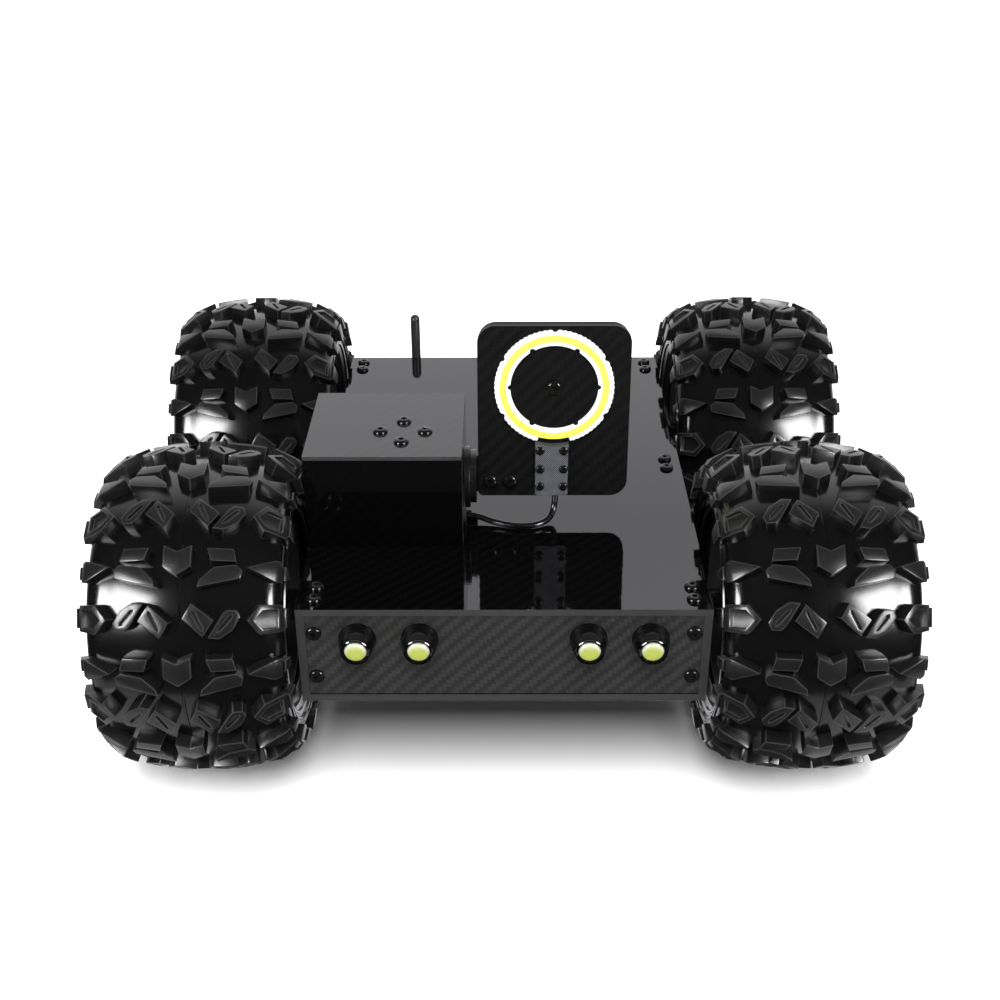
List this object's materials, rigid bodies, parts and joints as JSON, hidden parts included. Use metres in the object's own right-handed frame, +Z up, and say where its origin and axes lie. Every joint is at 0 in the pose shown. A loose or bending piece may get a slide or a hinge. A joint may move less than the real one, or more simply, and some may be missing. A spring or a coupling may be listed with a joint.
{
  "type": "four wheel robot chassis",
  "caption": "Flat carbon-plate robot chassis on geared off-road wheels, with a servo-tilted phone plate, ring light, front lamps and antenna.",
  "frame": {"origin": "on the floor under the middle of the wheelbase, midway between the left and right wheels", "axes": "+X to the right across the wheels, -Y towards the front panel, +Z up"},
  "size_m": [0.399, 0.3655, 0.2224],
  "materials": {
    "carbon_plate": "gloss",
    "black_aluminium": "satin",
    "black_screw": "satin",
    "lamp_black": "gloss",
    "lamp_lens": "gloss",
    "bright_metal": "satin",
    "pad_rubber": "matte",
    "board_white": "satin",
    "phosphor": "satin",
    "printed_block": "matte",
    "cable_black": "satin",
    "moulded_black": "matte",
    "battery_wrap": "gloss",
    "circuit_board": "satin",
    "rocker": "gloss",
    "tyre_rubber": "satin",
    "rim_black": "satin",
    "motor_steel": "satin"
  },
  "bodies": {
    "chassis": {"battery": "battery_wrap", "board_standoffs": "black_aluminium", "bottom_plate": "carbon_plate", "box_back_wall": "carbon_plate", "box_front_wall": "carbon_plate", "box_left_wall": "carbon_plate", "box_lid": "carbon_plate", "box_right_wall": "carbon_plate", "button_screws": "black_screw", "cable_grommet": "pad_rubber", "charge_jack": "moulded_black", "control_board": "circuit_board", "deck_rails": "black_aluminium", "floor_screws": "black_screw", "front_panel": "carbon_plate", "gearmotor_front_left": "motor_steel", "gearmotor_front_right": "motor_steel", "gearmotor_rear_left": "motor_steel", "gearmotor_rear_right": "motor_steel", "lamp_housings": "lamp_black", "lamp_lenses": "lamp_lens", "lamp_nuts": "bright_metal", "light_cable": "cable_black", "motor_screws": "black_screw", "mounting_blocks": "black_aluminium", "power_switch": "moulded_black", "rear_panel": "carbon_plate", "side_plate_left": "carbon_plate", "side_plate_right": "carbon_plate", "sma_jack": "bright_metal", "tilt_servo": "moulded_black", "top_deck": "carbon_plate"},
    "wheel_front_left": {"drive_hub_front_left": "bright_metal", "rim_front_left": "rim_black", "tyre_front_left": "tyre_rubber", "wheel_nut_front_left": "bright_metal"},
    "wheel_front_right": {"drive_hub_front_right": "bright_metal", "rim_front_right": "rim_black", "tyre_front_right": "tyre_rubber", "wheel_nut_front_right": "bright_metal"},
    "wheel_rear_left": {"drive_hub_rear_left": "bright_metal", "rim_rear_left": "rim_black", "tyre_rear_left": "tyre_rubber", "wheel_nut_rear_left": "bright_metal"},
    "wheel_rear_right": {"drive_hub_rear_right": "bright_metal", "rim_rear_right": "rim_black", "tyre_rear_right": "tyre_rubber", "wheel_nut_rear_right": "bright_metal"},
    "tilt_head": {"tilt_hub": "black_aluminium", "tilt_bracket": "black_aluminium", "phone_plate": "carbon_plate", "phone_pad": "pad_rubber", "light_board": "board_white", "light_phosphor": "phosphor", "cable_clamp": "printed_block", "plate_screws": "black_screw", "clamp_screws": "black_screw"},
    "antenna_base": {"antenna_swivel": "moulded_black"},
    "antenna": {"antenna_rod": "moulded_black"},
    "rocker": {"switch_rocker": "rocker"}
  },
  "joints": [
    {"name": "wheel_front_left_spin", "type": "hinge", "parent": "chassis", "child": "wheel_front_left", "pos_m": [-0.15, -0.099, 0.084], "axis": [1, 0, 0], "continuous": true},
    {"name": "wheel_front_right_spin", "type": "hinge", "parent": "chassis", "child": "wheel_front_right", "pos_m": [0.15, -0.099, 0.084], "axis": [1, 0, 0], "continuous": true},
    {"name": "wheel_rear_left_spin", "type": "hinge", "parent": "chassis", "child": "wheel_rear_left", "pos_m": [-0.15, 0.099, 0.084], "axis": [1, 0, 0], "continuous": true},
    {"name": "wheel_rear_right_spin", "type": "hinge", "parent": "chassis", "child": "wheel_rear_right", "pos_m": [0.15, 0.099, 0.084], "axis": [1, 0, 0], "continuous": true},
    {"name": "phone_tilt", "type": "hinge", "parent": "chassis", "child": "tilt_head", "pos_m": [-0.0187, -0.0623, 0.1388], "axis": [1, 0, 0], "range_deg": [-45, 45], "deforming": ["light_cable"]},
    {"name": "antenna_turn", "type": "hinge", "parent": "chassis", "child": "antenna_base", "pos_m": [-0.058, 0.1501, 0.094], "axis": [0, 1, 0], "range_deg": [-50, 180]},
    {"name": "antenna_fold", "type": "hinge", "parent": "antenna_base", "child": "antenna", "pos_m": [-0.058, 0.1501, 0.094], "axis": [1, 0, 0], "range_deg": [-90, 0]},
    {"name": "switch_rock", "type": "hinge", "parent": "chassis", "child": "rocker", "pos_m": [0.02, 0.1319, 0.093], "axis": [0, 0, 1], "range_deg": [0, 20]}
  ]
}
